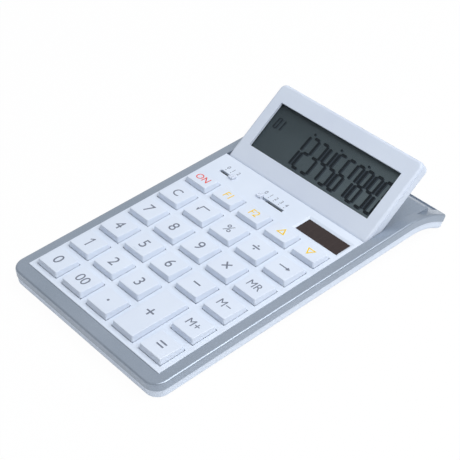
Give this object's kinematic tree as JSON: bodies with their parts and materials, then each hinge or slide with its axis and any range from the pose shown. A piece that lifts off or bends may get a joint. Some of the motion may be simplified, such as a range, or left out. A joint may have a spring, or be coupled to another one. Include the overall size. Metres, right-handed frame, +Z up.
{
  "type": "desk calculator",
  "caption": "Slim desk calculator with a wedge of separate keys, a solar cell, slide switches and a display that tilts up on a hinge.",
  "frame": {"origin": "on the desk under the middle of the object's box", "axes": "+Z up from the desk, +Y from the user's edge to the rear, +X to the user's right"},
  "size_m": [0.108, 0.176, 0.0394],
  "materials": {
    "silver_plastic": "silver paint with fine flake, satin",
    "white_plastic": "fine moulded texture, satin",
    "key_white": "smooth moulded, satin",
    "clear_window": "clear, polished",
    "lcd": "grey liquid crystal panel behind glass",
    "solar_panel": "dark amorphous cell, glossy",
    "rubber": "matt rubber",
    "keypad_rubber": "silicone rubber, matt",
    "circuit_board": "green solder mask",
    "chip_resin": "black resin blob",
    "foam": "foam",
    "ribbon": "flat ribbon film",
    "steel": "plated steel",
    "brass": "spring bronze",
    "switch_grey": "smooth moulded, satin"
  },
  "bodies": {
    "case": {"battery_contact_bottom": "brass", "battery_contact_top": "brass", "battery_door": "white_plastic", "board_screws": "steel", "bottom_case": "white_plastic", "button_cell": "steel", "case_screws": "steel", "controller_chip": "chip_resin", "display_cable_base": "ribbon", "front_feet": "rubber", "hinge_pins": "steel", "key_plate": "white_plastic", "keypad_rubber": "keypad_rubber", "main_board": "circuit_board", "rear_feet": "rubber", "solar_cell": "solar_panel", "solar_leads": "steel", "top_frame": "silver_plastic"},
    "display_head": {"display_bezel": "white_plastic", "display_back": "white_plastic", "display_window": "clear_window", "lcd_glass": "lcd", "lcd_cushion": "foam", "display_screws": "steel", "hinge_bushes": "brass", "display_cable_head": "ribbon"},
    "rounding_slide": {"rounding_switch": "switch_grey", "rounding_wiper": "brass"},
    "decimal_slide": {"decimal_switch": "switch_grey", "decimal_wiper": "brass"},
    "key_0_button": {"key_0": "key_white"},
    "key_00_button": {"key_00": "key_white"},
    "key_1_button": {"key_1": "key_white"},
    "key_2_button": {"key_2": "key_white"},
    "key_3_button": {"key_3": "key_white"},
    "key_4_button": {"key_4": "key_white"},
    "key_5_button": {"key_5": "key_white"},
    "key_6_button": {"key_6": "key_white"},
    "key_7_button": {"key_7": "key_white"},
    "key_8_button": {"key_8": "key_white"},
    "key_9_button": {"key_9": "key_white"},
    "key_clear_button": {"key_clear": "key_white"},
    "key_divide_button": {"key_divide": "key_white"},
    "key_down_button": {"key_down": "key_white"},
    "key_equals_button": {"key_equals": "key_white"},
    "key_function_left_button": {"key_function_left": "key_white"},
    "key_function_right_button": {"key_function_right": "key_white"},
    "key_memory_minus_button": {"key_memory_minus": "key_white"},
    "key_memory_plus_button": {"key_memory_plus": "key_white"},
    "key_memory_recall_button": {"key_memory_recall": "key_white"},
    "key_minus_button": {"key_minus": "key_white"},
    "key_on_button": {"key_on": "key_white"},
    "key_percent_button": {"key_percent": "key_white"},
    "key_plus_button": {"key_plus": "key_white"},
    "key_point_button": {"key_point": "key_white"},
    "key_root_button": {"key_root": "key_white"},
    "key_shift_button": {"key_shift": "key_white"},
    "key_times_button": {"key_times": "key_white"},
    "key_up_button": {"key_up": "key_white"}
  },
  "joints": [
    {"name": "display_hinge", "type": "hinge", "parent": "case", "child": "display_head", "pos_m": [0, 0.04144, 0.01176], "axis": [1, 0, 0], "range_deg": [-32.6, 17.3]},
    {"name": "rounding_slide", "type": "slide", "parent": "case", "child": "rounding_slide", "axis": [1, 0, 0], "range_m": [-0.0072, 0]},
    {"name": "decimal_slide", "type": "slide", "parent": "case", "child": "decimal_slide", "axis": [1, 0, 0], "range_m": [0, 0.0144]},
    {"name": "key_0_press", "type": "slide", "parent": "case", "child": "key_0_button", "axis": [0, 0.0404, -0.9992], "range_m": [0, 0.0013], "stiffness_N_per_m": 500, "springref_m": -0.0004, "deforming": ["keypad_rubber"]},
    {"name": "key_00_press", "type": "slide", "parent": "case", "child": "key_00_button", "axis": [0, 0.0404, -0.9992], "range_m": [0, 0.0013], "stiffness_N_per_m": 500, "springref_m": -0.0004, "deforming": ["keypad_rubber"]},
    {"name": "key_1_press", "type": "slide", "parent": "case", "child": "key_1_button", "axis": [0, 0.0404, -0.9992], "range_m": [0, 0.0013], "stiffness_N_per_m": 500, "springref_m": -0.0004, "deforming": ["keypad_rubber"]},
    {"name": "key_2_press", "type": "slide", "parent": "case", "child": "key_2_button", "axis": [0, 0.0404, -0.9992], "range_m": [0, 0.0013], "stiffness_N_per_m": 500, "springref_m": -0.0004, "deforming": ["keypad_rubber"]},
    {"name": "key_3_press", "type": "slide", "parent": "case", "child": "key_3_button", "axis": [0, 0.0404, -0.9992], "range_m": [0, 0.0013], "stiffness_N_per_m": 500, "springref_m": -0.0004, "deforming": ["keypad_rubber"]},
    {"name": "key_4_press", "type": "slide", "parent": "case", "child": "key_4_button", "axis": [0, 0.0404, -0.9992], "range_m": [0, 0.0013], "stiffness_N_per_m": 500, "springref_m": -0.0004, "deforming": ["keypad_rubber"]},
    {"name": "key_5_press", "type": "slide", "parent": "case", "child": "key_5_button", "axis": [0, 0.0404, -0.9992], "range_m": [0, 0.0013], "stiffness_N_per_m": 500, "springref_m": -0.0004, "deforming": ["keypad_rubber"]},
    {"name": "key_6_press", "type": "slide", "parent": "case", "child": "key_6_button", "axis": [0, 0.0404, -0.9992], "range_m": [0, 0.0013], "stiffness_N_per_m": 500, "springref_m": -0.0004, "deforming": ["keypad_rubber"]},
    {"name": "key_7_press", "type": "slide", "parent": "case", "child": "key_7_button", "axis": [0, 0.0404, -0.9992], "range_m": [0, 0.0013], "stiffness_N_per_m": 500, "springref_m": -0.0004, "deforming": ["keypad_rubber"]},
    {"name": "key_8_press", "type": "slide", "parent": "case", "child": "key_8_button", "axis": [0, 0.0404, -0.9992], "range_m": [0, 0.0013], "stiffness_N_per_m": 500, "springref_m": -0.0004, "deforming": ["keypad_rubber"]},
    {"name": "key_9_press", "type": "slide", "parent": "case", "child": "key_9_button", "axis": [0, 0.0404, -0.9992], "range_m": [0, 0.0013], "stiffness_N_per_m": 500, "springref_m": -0.0004, "deforming": ["keypad_rubber"]},
    {"name": "key_clear_press", "type": "slide", "parent": "case", "child": "key_clear_button", "axis": [0, 0.0404, -0.9992], "range_m": [0, 0.0013], "stiffness_N_per_m": 500, "springref_m": -0.0004, "deforming": ["keypad_rubber"]},
    {"name": "key_divide_press", "type": "slide", "parent": "case", "child": "key_divide_button", "axis": [0, 0.0404, -0.9992], "range_m": [0, 0.0013], "stiffness_N_per_m": 500, "springref_m": -0.0004, "deforming": ["keypad_rubber"]},
    {"name": "key_down_press", "type": "slide", "parent": "case", "child": "key_down_button", "axis": [0, 0.0404, -0.9992], "range_m": [0, 0.0013], "stiffness_N_per_m": 500, "springref_m": -0.0004, "deforming": ["keypad_rubber"]},
    {"name": "key_equals_press", "type": "slide", "parent": "case", "child": "key_equals_button", "axis": [0, 0.0404, -0.9992], "range_m": [0, 0.0013], "stiffness_N_per_m": 500, "springref_m": -0.0004, "deforming": ["keypad_rubber"]},
    {"name": "key_function_left_press", "type": "slide", "parent": "case", "child": "key_function_left_button", "axis": [0, 0.0404, -0.9992], "range_m": [0, 0.0013], "stiffness_N_per_m": 500, "springref_m": -0.0004, "deforming": ["keypad_rubber"]},
    {"name": "key_function_right_press", "type": "slide", "parent": "case", "child": "key_function_right_button", "axis": [0, 0.0404, -0.9992], "range_m": [0, 0.0013], "stiffness_N_per_m": 500, "springref_m": -0.0004, "deforming": ["keypad_rubber"]},
    {"name": "key_memory_minus_press", "type": "slide", "parent": "case", "child": "key_memory_minus_button", "axis": [0, 0.0404, -0.9992], "range_m": [0, 0.0013], "stiffness_N_per_m": 500, "springref_m": -0.0004, "deforming": ["keypad_rubber"]},
    {"name": "key_memory_plus_press", "type": "slide", "parent": "case", "child": "key_memory_plus_button", "axis": [0, 0.0404, -0.9992], "range_m": [0, 0.0013], "stiffness_N_per_m": 500, "springref_m": -0.0004, "deforming": ["keypad_rubber"]},
    {"name": "key_memory_recall_press", "type": "slide", "parent": "case", "child": "key_memory_recall_button", "axis": [0, 0.0404, -0.9992], "range_m": [0, 0.0013], "stiffness_N_per_m": 500, "springref_m": -0.0004, "deforming": ["keypad_rubber"]},
    {"name": "key_minus_press", "type": "slide", "parent": "case", "child": "key_minus_button", "axis": [0, 0.0404, -0.9992], "range_m": [0, 0.0013], "stiffness_N_per_m": 500, "springref_m": -0.0004, "deforming": ["keypad_rubber"]},
    {"name": "key_on_press", "type": "slide", "parent": "case", "child": "key_on_button", "axis": [0, 0.0404, -0.9992], "range_m": [0, 0.0013], "stiffness_N_per_m": 500, "springref_m": -0.0004, "deforming": ["keypad_rubber"]},
    {"name": "key_percent_press", "type": "slide", "parent": "case", "child": "key_percent_button", "axis": [0, 0.0404, -0.9992], "range_m": [0, 0.0013], "stiffness_N_per_m": 500, "springref_m": -0.0004, "deforming": ["keypad_rubber"]},
    {"name": "key_plus_press", "type": "slide", "parent": "case", "child": "key_plus_button", "axis": [0, 0.0404, -0.9992], "range_m": [0, 0.0013], "stiffness_N_per_m": 500, "springref_m": -0.0004, "deforming": ["keypad_rubber"]},
    {"name": "key_point_press", "type": "slide", "parent": "case", "child": "key_point_button", "axis": [0, 0.0404, -0.9992], "range_m": [0, 0.0013], "stiffness_N_per_m": 500, "springref_m": -0.0004, "deforming": ["keypad_rubber"]},
    {"name": "key_root_press", "type": "slide", "parent": "case", "child": "key_root_button", "axis": [0, 0.0404, -0.9992], "range_m": [0, 0.0013], "stiffness_N_per_m": 500, "springref_m": -0.0004, "deforming": ["keypad_rubber"]},
    {"name": "key_shift_press", "type": "slide", "parent": "case", "child": "key_shift_button", "axis": [0, 0.0404, -0.9992], "range_m": [0, 0.0013], "stiffness_N_per_m": 500, "springref_m": -0.0004, "deforming": ["keypad_rubber"]},
    {"name": "key_times_press", "type": "slide", "parent": "case", "child": "key_times_button", "axis": [0, 0.0404, -0.9992], "range_m": [0, 0.0013], "stiffness_N_per_m": 500, "springref_m": -0.0004, "deforming": ["keypad_rubber"]},
    {"name": "key_up_press", "type": "slide", "parent": "case", "child": "key_up_button", "axis": [0, 0.0404, -0.9992], "range_m": [0, 0.0013], "stiffness_N_per_m": 500, "springref_m": -0.0004, "deforming": ["keypad_rubber"]}
  ]
}
